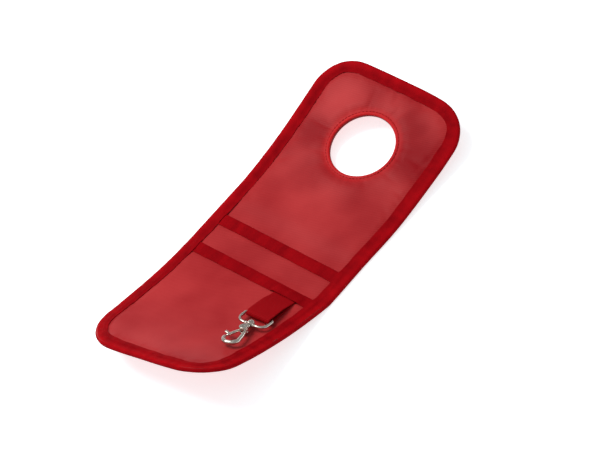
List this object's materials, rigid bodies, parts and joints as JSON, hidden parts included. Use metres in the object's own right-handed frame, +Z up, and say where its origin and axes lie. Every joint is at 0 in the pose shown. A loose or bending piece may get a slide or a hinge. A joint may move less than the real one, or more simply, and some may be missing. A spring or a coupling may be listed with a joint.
{
  "type": "door hanger pouch",
  "caption": "Padded red cloth panel with a round hole that hangs on a door handle, two flat stacked pockets, bound edges and a webbing loop with a swivel snap hook.",
  "frame": {"origin": "under the middle of the object's box, on the surface that it lies on", "axes": "+Y along the panel towards the end with the round hole, +X across it towards the side that carries the webbing loop, +Z up off the pocket side"},
  "size_m": [0.1454, 0.3346, 0.0525],
  "materials": {
    "coated_cloth": "fine ribbed weave with a satin coating",
    "back_cloth": "fine ribbed weave with a satin coating",
    "foam": "matte open-cell foam",
    "binding_tape": "woven tape, soft sheen",
    "thread": "twisted polyester",
    "webbing": "woven webbing with cross ribs",
    "nickel": "cast and nickel plated, satin",
    "steel": "drawn wire"
  },
  "bodies": {
    "panel": {"back_facing": "back_cloth", "foam_interlining": "foam", "front_facing": "coated_cloth", "inner_pocket": "coated_cloth", "outer_pocket": "coated_cloth", "inner_pocket_binding": "binding_tape", "outer_pocket_binding": "binding_tape", "edge_binding": "binding_tape", "strap_tail": "webbing", "edge_binding_thread": "thread", "inner_pocket_thread": "thread", "outer_pocket_thread": "thread", "hole_thread": "thread"},
    "strap": {"hook_strap": "webbing"},
    "eye": {"swivel_eye": "nickel"},
    "hook": {"hook_body": "nickel", "gate_pin": "steel", "gate_spring": "steel"},
    "gate": {"gate_lever": "nickel"}
  },
  "joints": [
    {"name": "strap_hinge", "type": "hinge", "parent": "panel", "child": "strap", "pos_m": [0.04026, -0.04794, 0.01166], "axis": [-0.9975, -0.0709, -0.0004], "range_deg": [0, 120]},
    {"name": "eye_pivot", "type": "hinge", "parent": "strap", "child": "eye", "pos_m": [0.0423, -0.07666, 0.01929], "axis": [-0.9936, -0.1119, 0.0148], "range_deg": [0, 75]},
    {"name": "hook_swivel", "type": "hinge", "parent": "eye", "child": "hook", "pos_m": [0.0423, -0.07666, 0.01929], "axis": [0.1092, -0.9196, 0.3775], "range_deg": [-20, 20]},
    {"name": "gate_pivot", "type": "hinge", "parent": "hook", "child": "gate", "pos_m": [0.04378, -0.0959, 0.02708], "axis": [-0.1383, 0.362, 0.9219], "range_deg": [0, 22], "stiffness_Nm_per_rad": 0.1, "springref_deg": -17.19, "deforming": ["gate_spring"]}
  ]
}
